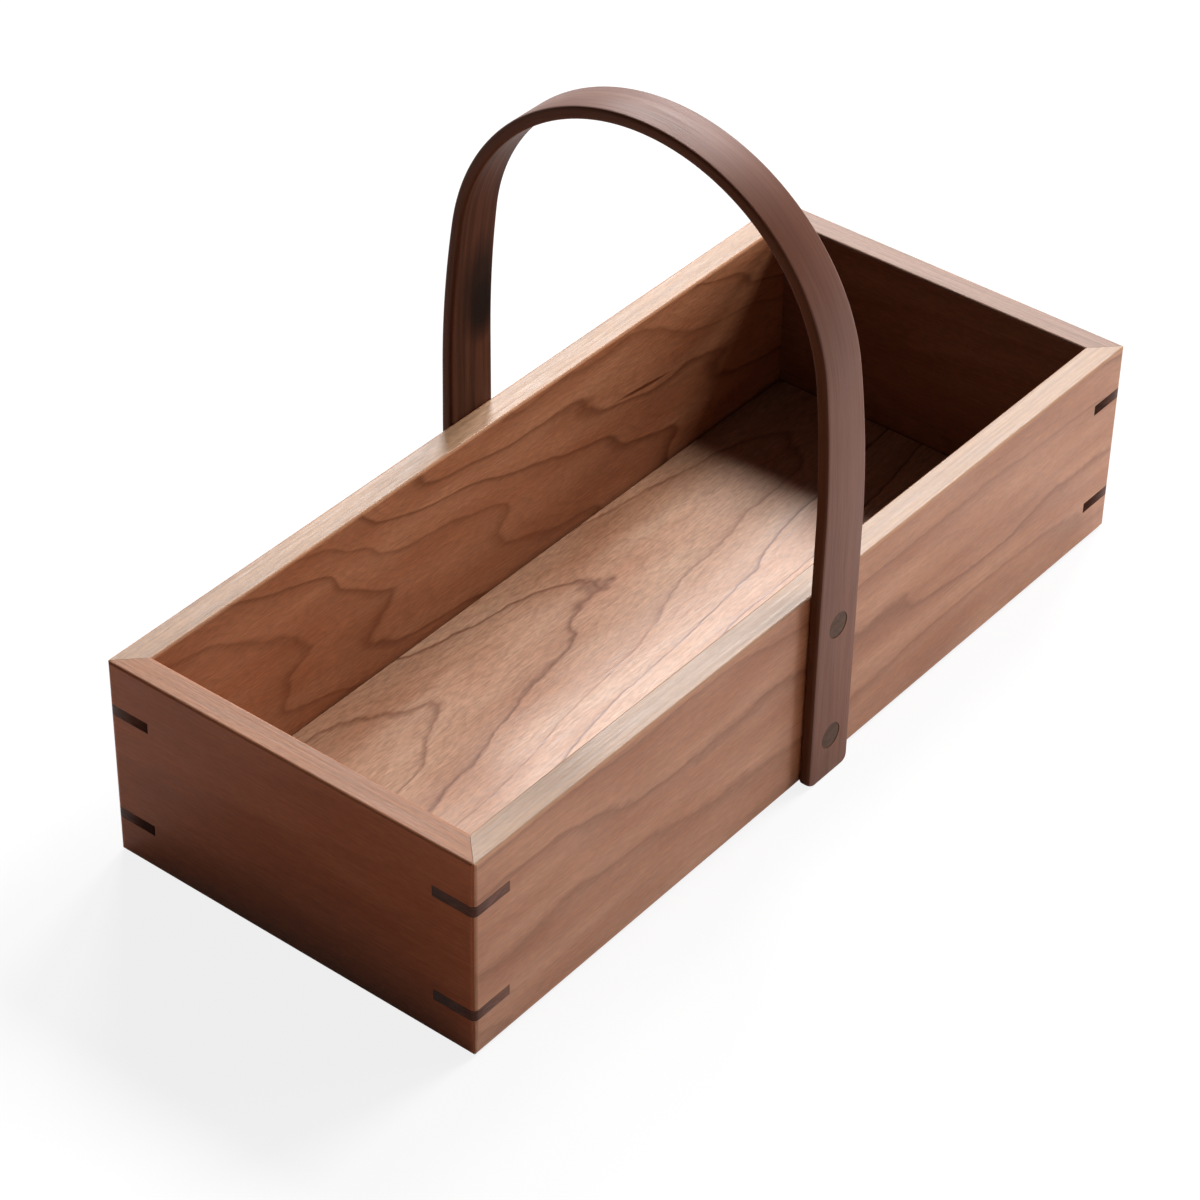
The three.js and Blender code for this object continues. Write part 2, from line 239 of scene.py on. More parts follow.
class BoxSizes(bpy.types.PropertyGroup):
    """Sizes of the pieces that this file shapes."""

    bow_end_width: length_property("Bow end width", "Width of the handle on the box", 22)
    bow_crown_width: length_property("Bow crown width", "Width of the handle at its top", 17)
    bow_thickness: length_property("Bow thickness", "Thickness of the bent strip", 4.5)
    bow_easing: length_property("Bow easing", "Radius along the strip's long edges", 1.4)
    bow_spring: length_property("Bow spring", "Height above the rim where the limbs lean in", 24)
    bow_lean: length_property("Bow lean", "How far each limb leans in before the crown", 3.1)
    bow_foot_round: length_property("Bow foot round", "Radius on the corners of the lower ends", 2.2)
    peg_diameter: length_property("Peg diameter", "Diameter of the handle pegs", 9.5)
    peg_length: length_property("Peg length", "Length of a handle peg", 12)
    peg_dome: length_property("Peg dome", "How far a peg's edge lies below its middle", 0.15)
    spline_leg: length_property("Spline leg", "Length of a spline on each face", 16.5)
    spline_thickness: length_property("Spline thickness", "Thickness of a spline", 4)
    corner_easing: length_property("Corner easing", "Radius of the upright corners", 2)
    glue_line: length_property("Glue line", "Open line round a glued piece", 0.1)


class BoxFinishes(bpy.types.PropertyGroup):
    """Colours of the woods."""

    front_wall_pale: colour_property("Front wall pale", "Early wood of the front wall", "ac866e")
    front_wall_body: colour_property("Front wall body", "Main colour of the front wall", "996d53")
    # The back wall's colours are redder than the front's and the floor's: painted shade, the deeper colour of
    # its inner face, which lies in shade inside the box.
    back_wall_pale: colour_property("Back wall pale", "Early wood of the back wall", "ae7a5a")
    back_wall_body: colour_property("Back wall body", "Main colour of the back wall", "9d6444")
    # The left end's colours are darker and redder than the front's: painted shade for its outer face, which
    # lies in shade.
    left_end_wall_pale: colour_property("Left end pale", "Early wood of the left end wall", "996349")
    left_end_wall_body: colour_property("Left end body", "Main colour of the left end wall", "8b563b")
    # The right end's colours are the darkest: painted shade for its inner face, which lies in the deepest
    # shadow of the box.
    right_end_wall_pale: colour_property("Right end pale", "Early wood of the right end wall", "7e5a46")
    right_end_wall_body: colour_property("Right end body", "Main colour of the right end wall", "714c39")
    floor_panel_pale: colour_property("Floor pale", "Early wood of the floor", "ae8a71")
    floor_panel_body: colour_property("Floor body", "Main colour of the floor", "9d7156")
    # The tops' colours are paler and greyer than the faces': painted sheen on the lit tops, set for each top
    # to the sheen it shows.
    front_wall_rim: colour_property("Front wall rim", "Planed top edge of the front wall", "977962")
    back_wall_rim: colour_property("Back wall rim", "Planed top edge of the back wall", "957358")
    left_end_wall_rim: colour_property("Left end rim", "Planed top edge of the left end wall", "966a51")
    right_end_wall_rim: colour_property("Right end rim", "Planed top edge of the right end wall", "8b7063")
    cherry_line: colour_property("Cherry line", "Late wood at the end of a year's growth", "5e2f18")
    walnut_pale: colour_property("Walnut pale", "Pale streaks of the bent handle", "6a412f")
    walnut_body: colour_property("Walnut body", "Main colour of the bent handle", "5d3526")
    walnut_dark: colour_property("Walnut dark", "Dark streaks of the bent handle", "381d16")
    # Darker colours for the handle's narrow edges: painted shade on the sides of the strip, which turn away
    # from the light.
    shaded_edge_pale: colour_property("Edge pale", "Pale streaks on the bent handle's narrow edges", "55321f")
    shaded_edge_body: colour_property("Edge body", "Main colour of the bent handle's narrow edges", "482919")
    knot_dark: colour_property("Knot", "Knot in the bent handle", "140906")
    spline_body: colour_property("Spline body", "Main colour of the corner splines", "553325")
    spline_dark: colour_property("Spline dark", "Dark streaks of the corner splines", "391d12")
    peg_body: colour_property("Peg body", "Main colour of the pegs' end grain", "58453a")
    peg_dark: colour_property("Peg dark", "Open pores of the pegs' end grain", "33251c")


def add(tree, kind, inputs=None, give=0, **settings):
    """Adds a node with its settings, sets or links its inputs, and gives back one output or the node."""
    made = tree.nodes.new(kind)
    for setting, value in settings.items():
        setattr(made, setting, value)
    for key, value in (inputs or {}).items():
        if isinstance(value, bpy.types.NodeSocket):
            tree.links.new(value, made.inputs[key])
        else:
            made.inputs[key].default_value = value
    return made if give is None else made.outputs[give]


def new_finish(name):
    """An empty material, as (material, its tree)."""
    material = bpy.data.materials.new(name)
    material.use_nodes = True
    material.node_tree.nodes.clear()
    return material, material.node_tree


def oiled_surface(tree, colour, roughness, height, relief, polish, pores=False):
    """Ends a wood's tree in its oiled surface, with the grain raised, or sunk where it is pores."""
    grain = {"Strength": relief, "Distance": GRAIN_DEPTH, "Height": height}
    normal = add(tree, "ShaderNodeBump", grain, invert=pores)
    looks = {"Base Color": colour, "Roughness": roughness, "Normal": normal, "Specular IOR Level": polish}
    surface = add(tree, "ShaderNodeBsdfPrincipled", looks, give="BSDF")
    add(tree, "ShaderNodeOutputMaterial", {"Surface": surface}, give=None)


def layered(tree, colour, layers):
    """A colour with layers laid over it in turn, each as (way of blending, amount, colour)."""
    for way, amount, over in layers:
        both = {0: amount, 6: colour, 7: over}
        colour = add(tree, "ShaderNodeMix", both, data_type="RGBA", blend_type=way, give=2)
    return colour


def grown(tree, place, pattern, seed=0):
    """A pattern at a place in the wood, as its bare noise and then each of its effects."""
    drift = [(pattern.seed + seed) * shift for shift in SEED_SHIFT]
    lumps = {"Vector": place, "Scale": [1 / length for length in pattern.lengths], "Location": drift}
    scaled = add(tree, "ShaderNodeMapping", lumps)
    settings = {"Vector": scaled, "Scale": 1.0, "Detail": pattern.detail}
    noise = add(tree, "ShaderNodeTexNoise", settings, give="Fac")
    shown = [noise]
    for low, high, least, most in pattern.effects:
        limits = {"Value": noise, "From Min": low, "From Max": high, "To Min": least, "To Max": most}
        shown.append(add(tree, "ShaderNodeMapRange", limits))
    return shown


def soft_patch(tree, offset, reach, core, strength):
    """How strongly a patch shows at an offset from its middle: fully in its core, then fading."""
    share = add(tree, "ShaderNodeVectorMath", {0: offset, 1: reach}, operation="DIVIDE")
    away = add(tree, "ShaderNodeVectorMath", {0: share}, operation="LENGTH", give="Value")
    fade = {"Value": away, "From Min": core, "From Max": 1.0, "To Min": strength, "To Max": 0.0}
    return add(tree, "ShaderNodeMapRange", fade)


def object_millimetres(tree):
    """The place on the piece in millimetres, as X, Y and Z sockets."""
    place = add(tree, "ShaderNodeTexCoord", give="Object")
    metric = add(tree, "ShaderNodeVectorMath", {0: place, "Scale": 1 / MM}, operation="SCALE")
    return add(tree, "ShaderNodeSeparateXYZ", {0: metric}, give=None).outputs


def late_wood(tree, board, along, figure):
    """How much of each spot on a board is the dark late wood that ends a year's growth."""
    heart = (0, figure.heart, figure.depth)
    offset = add(tree, "ShaderNodeVectorMath", {0: board, 1: heart}, operation="SUBTRACT")
    across = add(tree, "ShaderNodeVectorMath", {0: offset, 1: (0, 1, 1)}, operation="MULTIPLY")
    radius = add(tree, "ShaderNodeVectorMath", {0: across}, operation="LENGTH", give="Value")
    widening = {0: along, 1: figure.taper, 2: radius}
    age = add(tree, "ShaderNodeMath", widening, operation="MULTIPLY_ADD")
    for bend in figure.bends + KINKS:
        waves = Pattern((bend.length, bend.width, bend.width), bend.seed, BEND_DETAIL, ())
        wave = grown(tree, board, waves)[0]
        level = add(tree, "ShaderNodeMath", {0: wave, 1: BEND_MIDDLE}, operation="SUBTRACT")
        push = {0: level, 1: bend.reach, 2: age}
        age = add(tree, "ShaderNodeMath", push, operation="MULTIPLY_ADD")
    since = add(tree, "ShaderNodeMath", {0: age, 1: figure.first}, operation="SUBTRACT")
    years = add(tree, "ShaderNodeMath", {0: since, 1: figure.spacing}, operation="DIVIDE")
    season = add(tree, "ShaderNodeMath", {0: years}, operation="FRACT")
    growth = add(tree, "ShaderNodeValToRGB", {"Fac": season}, give=None)
    stops = growth.color_ramp.elements
    stops[1].color = (0, 0, 0, 1)
    for position, value in figure.season:
        stops.new(position).color = (value, value, value, 1)
    year = add(tree, "ShaderNodeMath", {0: years}, operation="FLOOR")
    hardness = add(tree, "ShaderNodeTexWhiteNoise", {"W": year}, noise_dimensions="1D", give="Value")
    limits = {"Value": hardness, "To Min": WEAKEST_YEAR * figure.contrast, "To Max": figure.contrast}
    firm = add(tree, "ShaderNodeMapRange", limits)
    line = {0: growth.outputs["Color"], 1: firm}
    main = add(tree, "ShaderNodeMath", line, operation="MULTIPLY")
    spell = add(tree, "ShaderNodeMath", {0: years, 1: FAINT_LINES}, operation="MULTIPLY")
    spell = add(tree, "ShaderNodeMath", {0: spell}, operation="FRACT")
    faint = {"Value": spell, "From Min": FAINT_START, "To Max": FAINT_DARKNESS * figure.contrast}
    faint = add(tree, "ShaderNodeMapRange", faint)
    return add(tree, "ShaderNodeMath", {0: main, 1: faint}, operation="MAXIMUM")


def gum_streak(tree, along, across):
    """How much of each spot is the thin dark streak of gum."""
    run = add(tree, "ShaderNodeMath", {0: along, 1: GUM_PLACE[0]}, operation="SUBTRACT")
    rise = add(tree, "ShaderNodeMath", {0: across, 1: GUM_PLACE[1]}, operation="SUBTRACT")
    slant = {0: run, 1: GUM_SLANT, 2: rise}
    level = add(tree, "ShaderNodeMath", slant, operation="MULTIPLY_ADD")
    offset = add(tree, "ShaderNodeCombineXYZ", {0: run, 1: level})
    return soft_patch(tree, offset, (*GUM_SIZE, 1), GUM_CORE, GUM_STRENGTH)


def cherry(name, figure, oiled, pale, body, line, rim, gum):
    """Oiled cherry, sanded after planing: soft wavy year lines, fine fibres along the board, ray flecks, and
    a top painted paler and greyer for its sheen.
    """
    material, tree = new_finish(name)
    axes = object_millimetres(tree)
    along = axes[figure.along]
    across = axes[figure.across]
    sides = {0: along, 1: across, 2: axes[figure.through]}
    board = add(tree, "ShaderNodeCombineXYZ", sides)
    late = late_wood(tree, board, along, figure)
    mottle = grown(tree, board, CHERRY_MOTTLE, figure.seed)[1]
    fibre, fibre_tone, roughness = grown(tree, board, CHERRY_FIBRE, figure.seed)
    fleck, sparkle = grown(tree, board, CHERRY_FLECK, figure.seed)
    sparkle = {0: sparkle, 1: oiled.fleck, 2: 1.0}
    fleck_tone = add(tree, "ShaderNodeMath", sparkle, operation="MULTIPLY_ADD")
    # On the rim the rings are cut along their length, so that only straight streaks show.
    top = {"Value": axes["Z"], "From Min": RIM / MM - RIM_DEPTHS[0], "From Max": RIM / MM - RIM_DEPTHS[1]}
    on_rim = add(tree, "ShaderNodeMapRange", top)
    streak = grown(tree, board, RIM_STREAK, figure.seed)[1]
    # The top's colour is painted sheen, paler and greyer than the faces; its streaks are grain.
    painted_sheen_top = layered(tree, (*rim, 1), [("MULTIPLY", 1.0, streak)])
    arris = add(tree, "ShaderNodeAttribute", attribute_name="arris", give="Fac")
    worn = add(tree, "ShaderNodeMath", {0: arris, 1: WEAR}, operation="MULTIPLY")

    layers = [("MIX", mottle, (*pale, 1)), ("MIX", late, (*line, 1))]
    if gum:
        layers.append(("MIX", gum_streak(tree, along, across), (*line, 1)))
    layers += [("MIX", on_rim, painted_sheen_top), ("MULTIPLY", 1.0, fibre_tone), ("MULTIPLY", 1.0, fleck_tone)]
    layers.append(("MIX", worn, (*pale, 1)))
    colour = layered(tree, (*body, 1), layers)
    height = add(tree, "ShaderNodeMath", {0: fibre, 1: fleck}, operation="ADD")
    oiled_surface(tree, colour, roughness, height, CHERRY_RELIEF, oiled.polish)
    return material


def walnut_strip(name, polish, pale, body, finishes, patches=(), shaded_inside=False):
    """Oiled walnut strip, bent and sanded: straight soft streaks, fine open pores along the bend, satin."""
    material, tree = new_finish(name)
    grain = add(tree, "ShaderNodeAttribute", attribute_name="grain", give="Vector")
    strip = add(tree, "ShaderNodeVectorMath", {0: grain, "Scale": 1 / MM}, operation="SCALE")
    streak = grown(tree, strip, WALNUT_STREAK)[1]
    fibre, fibre_share, roughness = grown(tree, strip, WALNUT_FIBRE)
    pore = grown(tree, strip, WALNUT_PORE)[1]
    dark = (*finishes.walnut_dark, 1)
    layers = [("MIX", streak, (*body, 1)), ("MIX", fibre_share, dark), ("MIX", pore, dark)]
    if shaded_inside:
        # Painted shade on the inner face, the inside of the arch, laid on in streaks along the grain.
        layers.append(("MULTIPLY", 1.0, grown(tree, strip, WALNUT_INNER_SHADE)[1]))
    # Dark patches, the knot and the painted shade alike.
    for patch in patches:
        apart = {0: strip, 1: patch.middle}
        offset = add(tree, "ShaderNodeVectorMath", apart, operation="SUBTRACT")
        amount = soft_patch(tree, offset, patch.reach, PATCH_CORE, patch.strength)
        layers.append(("MIX", amount, (*getattr(finishes, patch.colour), 1)))
    colour = layered(tree, (*pale, 1), layers)
    oiled_surface(tree, colour, roughness, fibre, WALNUT_RELIEF, polish, pores=True)
    return material


def walnut_spline(finishes):
    """Dark oiled walnut key, sanded flush: grain across the mitre, cut at a slant on both faces."""
    material, tree = new_finish("walnut_spline")
    x, y, z = object_millimetres(tree)
    run = [add(tree, "ShaderNodeMath", {0: side}, operation="ABSOLUTE") for side in (x, y)]
    along = add(tree, "ShaderNodeMath", {0: run[0], 1: run[1]}, operation="SUBTRACT")
    through = add(tree, "ShaderNodeMath", {0: run[0], 1: run[1]}, operation="ADD")
    key = add(tree, "ShaderNodeCombineXYZ", {0: along, 1: z, 2: through})
    fibre, dark, roughness = grown(tree, key, SPLINE_FIBRE)
    colour = layered(tree, (*finishes.spline_body, 1), [("MIX", dark, (*finishes.spline_dark, 1))])
    oiled_surface(tree, colour, roughness, fibre, SPLINE_RELIEF, SPLINE_POLISH)
    return material


def walnut_peg(finishes):
    """Dowel end grain, cut flush and oiled dark: small open pores and faint year lines across the face."""
    material, tree = new_finish("walnut_peg")
    x, y, z = object_millimetres(tree)
    face = add(tree, "ShaderNodeCombineXYZ", {0: x, 1: z, 2: y})
    pore, hole = grown(tree, face, PEG_PORE)
    cloud = grown(tree, face, PEG_CLOUD)[1]
    dark = (*finishes.peg_dark, 1)
    colour = layered(tree, (*finishes.peg_body, 1), [("MIX", cloud, dark), ("MIX", hole, dark)])
    oiled_surface(tree, colour, PEG_ROUGHNESS, pore, PEG_RELIEF, PEG_POLISH, pores=True)
    return material


def new_tree(name, sizes, woods=("Wood",)):
    """An empty geometry tree with the named sizes and woods as inputs, as (tree, inputs, outputs)."""
    tree = bpy.data.node_groups.new(name, "GeometryNodeTree")
    tree.is_modifier = True
    tree.interface.new_socket(name="Geometry", in_out="INPUT", socket_type="NodeSocketGeometry")
    tree.interface.new_socket(name="Geometry", in_out="OUTPUT", socket_type="NodeSocketGeometry")
    for size in sizes:
        socket = tree.interface.new_socket(name=size, in_out="INPUT", socket_type="NodeSocketFloat")
        socket.subtype = "DISTANCE"
    for wood in woods:
        tree.interface.new_socket(name=wood, in_out="INPUT", socket_type="NodeSocketMaterial")
    asked = add(tree, "NodeGroupInput", give=None).outputs
    done = add(tree, "NodeGroupOutput", give=None).inputs
    return tree, asked, done


def grow(piece, tree, inputs):
    """Runs a geometry tree on a piece with these sizes and woods."""
    modifier = piece.modifiers.new(tree.name, "NODES")
    modifier.node_group = tree
    for name, value in inputs.items():
        modifier[tree.interface.items_tree[name].identifier] = value


def settle(piece):
    """Turns a piece's modifiers into its own plain mesh."""
    depsgraph = bpy.context.evaluated_depsgraph_get()
    mesh = bpy.data.meshes.new_from_object(
        piece.evaluated_get(depsgraph), preserve_all_data_layers=True, depsgraph=depsgraph
    )
    piece.modifiers.clear()
    piece.data = mesh
    mesh.name = piece.name


def new_piece(name, points=(), edges=()):
    """A new object of points and edges, linked to the scene."""
    mesh = bpy.data.meshes.new(name)
    mesh.from_pydata(points, edges, [])
    piece = bpy.data.objects.new(name, mesh)
    bpy.context.scene.collection.objects.link(piece)
    return piece


def seat(piece, slot, *nodes):
    """Puts a finished piece on the box in place of its CAD nodes."""
    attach(piece, BODY)
    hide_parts(*nodes)


def set_out(tree, sizes, done, shape, rotation):
    """Ends a tree with a copy of a shape at each point, made real and given its wood."""
    copies = {"Points": sizes["Geometry"], "Instance": shape, "Rotation": rotation}
    placed = add(tree, "GeometryNodeInstanceOnPoints", copies)
    real = add(tree, "GeometryNodeRealizeInstances", {"Geometry": placed})
    dressed = add(tree, "GeometryNodeSetMaterial", {"Geometry": real, "Material": sizes["Wood"]})
    tree.links.new(dressed, done["Geometry"])


# Edges that turn more than this stay crisp, and faces that turn less than this become one.
SHARP_EDGE = math.radians(32)
FLAT_ENOUGH = math.radians(1)
# Corners nearer than this are one.
WELD = 0.01 * MM
# A face whose normal lies less than this along every axis is part of an easing.
LEVEL = 0.999
# How far large faces set the shading over small ones.
FLAT_WEIGHT = 100


def board_mesh(node):
    """A CAD board as one clean mesh: corners joined, flat faces whole, soft over the easings it marks."""
    mesh = bpy.data.meshes.new(node + "_board")
    shape = bmesh.new()
    shape.from_mesh(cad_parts[node].data)
    bmesh.ops.remove_doubles(shape, verts=shape.verts, dist=WELD)
    bmesh.ops.dissolve_limit(shape, angle_limit=FLAT_ENOUGH, verts=shape.verts, edges=shape.edges)
    for face in shape.faces:
        face.smooth = True
    for edge in shape.edges:
        edge.smooth = edge.calc_face_angle(0.0) < SHARP_EDGE
    shape.to_mesh(mesh)
    shape.free()
    arris = mesh.attributes.new("arris", "FLOAT", "FACE")
    for polygon in mesh.polygons:
        eased = max(abs(part) for part in polygon.normal) < LEVEL
        arris.data[polygon.index].value = 1.0 if eased else 0.0
    return mesh


class CARRYING_BOX_OT_boards(bpy.types.Operator):
    """Makes the four cherry walls and the cherry floor"""

    bl_idname = "carrying_box.boards"
    bl_label = "Walls and Floor"

    def execute(self, context):
        finishes = context.scene.box_finishes
        for node in BOARDS:
            board = bpy.data.objects.new(node + "_board", board_mesh(node))
            context.scene.collection.objects.link(board)
            pale = getattr(finishes, node + "_pale")
            body = getattr(finishes, node + "_body")
            # Each top's colour is painted sheen.
            rim = getattr(finishes, node + "_rim", pale)
            name = "cherry_" + node
            gum = node == "back_wall"
            wood = cherry(name, FIGURES[node], SURFACES[node], pale, body, finishes.cherry_line, rim, gum)
            board.data.materials.append(wood)
            flats = board.modifiers.new("flat faces", "WEIGHTED_NORMAL")
            flats.keep_sharp = True
            flats.weight = FLAT_WEIGHT
            settle(board)
            seat(board, "cherry", node)
        return {"FINISHED"}


# The outline's point on the outer corner, and the flats that round it.
OUTER_POINT = 3
SPLINE_CORNER_STEPS = 8
# The way to the corner that an unturned key fits.
CORNER_HEADING = math.pi / 4


def spline_tree():
    """A three-cornered key at each point, turned to point into the box."""
    tree, sizes, done = new_tree("corner_splines", ("Leg", "Thickness", "Corner radius"))
    back = add(tree, "ShaderNodeMath", {0: sizes["Leg"], 1: -1.0}, operation="MULTIPLY")
    halfway = add(tree, "ShaderNodeMath", {0: sizes["Leg"], 1: -0.5}, operation="MULTIPLY")
    corners = {
        "Point 1": add(tree, "ShaderNodeCombineXYZ", {0: back}),
        "Point 2": add(tree, "ShaderNodeCombineXYZ", {0: halfway, 1: halfway}),
        "Point 3": add(tree, "ShaderNodeCombineXYZ", {1: back}),
        "Point 4": (0, 0, 0),
    }
    outline = add(tree, "GeometryNodeCurvePrimitiveQuadrilateral", corners, mode="POINTS")
    index = add(tree, "GeometryNodeInputIndex")
    points = {2: index, 3: OUTER_POINT}
    outer = add(tree, "FunctionNodeCompare", points, data_type="INT", operation="EQUAL")
    easing = {0: outer, 1: sizes["Corner radius"]}
    radius = add(tree, "ShaderNodeMath", easing, operation="MULTIPLY")
    rounding = {"Curve": outline, "Count": SPLINE_CORNER_STEPS, "Radius": radius}
    rounded = add(tree, "GeometryNodeFilletCurve", rounding, mode="POLY")
    half = add(tree, "ShaderNodeMath", {0: sizes["Thickness"], 1: 0.5}, operation="MULTIPLY")
    below = add(tree, "ShaderNodeMath", {0: half, 1: -1.0}, operation="MULTIPLY")
    ends = {
        "Start": add(tree, "ShaderNodeCombineXYZ", {2: below}),
        "End": add(tree, "ShaderNodeCombineXYZ", {2: half}),
    }
    rise = add(tree, "GeometryNodeCurvePrimitiveLine", ends)
    sweep = {"Curve": rise, "Profile Curve": rounded, "Fill Caps": True}
    key = add(tree, "GeometryNodeCurveToMesh", sweep)
    place = add(tree, "GeometryNodeInputPosition")
    side = add(tree, "ShaderNodeVectorMath", {0: place}, operation="SIGN")
    signs = add(tree, "ShaderNodeSeparateXYZ", {0: side}, give=None).outputs
    heading = add(tree, "ShaderNodeMath", {0: signs["Y"], 1: signs["X"]}, operation="ARCTAN2")
    turn = add(tree, "ShaderNodeMath", {0: heading, 1: CORNER_HEADING}, operation="SUBTRACT")
    upright = add(tree, "ShaderNodeCombineXYZ", {2: turn})
    rotation = add(tree, "FunctionNodeEulerToRotation", {0: upright})
    set_out(tree, sizes, done, key, rotation)
    return tree


class CARRYING_BOX_OT_splines(bpy.types.Operator):
    """Makes the dark keys across the mitred corners"""

    bl_idname = "carrying_box.splines"
    bl_label = "Corner Splines"

    def execute(self, context):
        sizes = context.scene.box_sizes
        corners = [
            (x, y, z)
            for x in (-HALF_LENGTH, HALF_LENGTH)
            for y in (-HALF_WIDTH, HALF_WIDTH)
            for z in SPLINE_HEIGHTS
        ]
        keys = new_piece("corner_splines", corners)
        shape = {
            "Leg": sizes.spline_leg,
            "Thickness": sizes.spline_thickness,
            "Corner radius": sizes.corner_easing,
            "Wood": walnut_spline(context.scene.box_finishes),
        }
        grow(keys, spline_tree(), shape)
        settle(keys)
        seat(keys, "dark_walnut", *SPLINES)
        return {"FINISHED"}


# Sides round a peg, and rings across its end.
PEG_SIDES = 48
PEG_RINGS = 6


def peg_tree():
    """A round peg at each point, its domed end outwards."""
    tree, sizes, done = new_tree("handle_pegs", ("Radius", "Length", "Dome"))
    steps = {"Vertices": PEG_SIDES, "Side Segments": 1, "Fill Segments": PEG_RINGS}
    measures = {"Radius": sizes["Radius"], "Depth": sizes["Length"]}
    rod = add(tree, "GeometryNodeMeshCylinder", steps | measures, fill_type="TRIANGLE_FAN", give="Mesh")
    place = add(tree, "GeometryNodeInputPosition")
    flat = add(tree, "ShaderNodeVectorMath", {0: place, 1: (1, 1, 0)}, operation="MULTIPLY")
    distance = add(tree, "ShaderNodeVectorMath", {0: flat}, operation="LENGTH", give="Value")
    share = add(tree, "ShaderNodeMath", {0: distance, 1: sizes["Radius"]}, operation="DIVIDE")
    square = add(tree, "ShaderNodeMath", {0: share, 1: share}, operation="MULTIPLY")
    fall = add(tree, "ShaderNodeMath", {0: square, 1: sizes["Dome"]}, operation="MULTIPLY")
    half = add(tree, "ShaderNodeMath", {0: sizes["Length"], 1: 0.5}, operation="MULTIPLY")
    drop = add(tree, "ShaderNodeMath", {0: fall, 1: half}, operation="ADD")
    down = add(tree, "ShaderNodeMath", {0: drop, 1: -1.0}, operation="MULTIPLY")
    shift = add(tree, "ShaderNodeCombineXYZ", {2: down})
    height = add(tree, "ShaderNodeSeparateXYZ", {0: place}, give="Z")
    is_top = add(tree, "FunctionNodeCompare", {0: height, 1: 0.0}, operation="GREATER_THAN")
    low = add(tree, "ShaderNodeMath", {0: half, 1: -1.0}, operation="MULTIPLY")
    sink = add(tree, "ShaderNodeCombineXYZ", {2: low})
    offset = add(tree, "GeometryNodeSwitch", {0: is_top, 1: sink, 2: shift}, input_type="VECTOR")
    domed = add(tree, "GeometryNodeSetPosition", {"Geometry": rod, "Offset": offset})
    outward = add(tree, "GeometryNodeInputPosition")
    level = add(tree, "ShaderNodeVectorMath", {0: outward, 1: (0, 1, 0)}, operation="MULTIPLY")
    turn = add(tree, "FunctionNodeAlignRotationToVector", {"Vector": level}, axis="Z")
    set_out(tree, sizes, done, domed, turn)
    return tree


def peg_rods(name, tree, sizes, wood, extra_radius=0.0, dome=0.0):
    """The pegs, or with extra radius the holes that they fill."""
    points = [(0, y, z) for y in (BOW_LOW.y, BOW_HIGH.y) for z in PEG_HEIGHTS]
    rods = new_piece(name, points)
    radius = sizes.peg_diameter / 2 + extra_radius
    grow(rods, tree, {"Radius": radius, "Length": sizes.peg_length, "Dome": dome, "Wood": wood})
    settle(rods)
    return rods


class CARRYING_BOX_OT_pegs(bpy.types.Operator):
    """Makes the pegs that hold the handle"""

    bl_idname = "carrying_box.pegs"
    bl_label = "Handle Pegs"

    def execute(self, context):
        sizes = context.scene.box_sizes
        wood = walnut_peg(context.scene.box_finishes)
        pegs = peg_rods("handle_pegs", peg_tree(), sizes, wood, dome=sizes.peg_dome)
        pegs.data.set_sharp_from_angle(angle=SHARP_EDGE)
        for polygon in pegs.data.polygons:
            polygon.use_smooth = True
        seat(pegs, "peg_wood", *PEGS)
        return {"FINISHED"}


# Steps along the bow's path, and round each easing of the strip.
FOOT_STEPS = 6
LEAN_STEPS = 12
CROWN_STEPS = 96
EASING_STEPS = 5
# How far round the easing the strip's narrow edge begins, from 0 on its broad face to 1.
EDGE_ON = 0.6


def half_bow(sizes):
    """The middle line of the bow's back half, from its foot to its top, in metres."""
    span = BOW_HIGH.y - sizes.bow_thickness / 2
    spring = RIM + sizes.bow_spring
    crown_radius = span - sizes.bow_lean
    crown_height = BOW_HIGH.z - sizes.bow_thickness / 2 - crown_radius
    climb = crown_height - spring
    lean_radius = (crown_radius + span) / 2 + climb**2 / (2 * sizes.bow_lean)
    meeting = math.atan2(climb, lean_radius - span)
    points = []
    # Close steps at the foot, whose corners are round.
    for i in range(FOOT_STEPS + 1):
        rise = 1 - math.cos(i / FOOT_STEPS * math.pi / 2)
        points.append((0, span, BOW_LOW.z + sizes.bow_foot_round * rise))
    points.append((0, span, RIM / 2))
    points.append((0, span, RIM))
    # The limb leans in on a wide arc, up to where the crown's half circle has the same slope.
    for i in range(LEAN_STEPS):
        angle = meeting * i / LEAN_STEPS
        across = span - lean_radius * (1 - math.cos(angle))
        points.append((0, across, spring + lean_radius * math.sin(angle)))
    for i in range(CROWN_STEPS // 2 + 1):
        angle = meeting + (math.pi / 2 - meeting) * i / (CROWN_STEPS // 2)
        points.append((0, crown_radius * math.cos(angle), crown_height + crown_radius * math.sin(angle)))
    return points


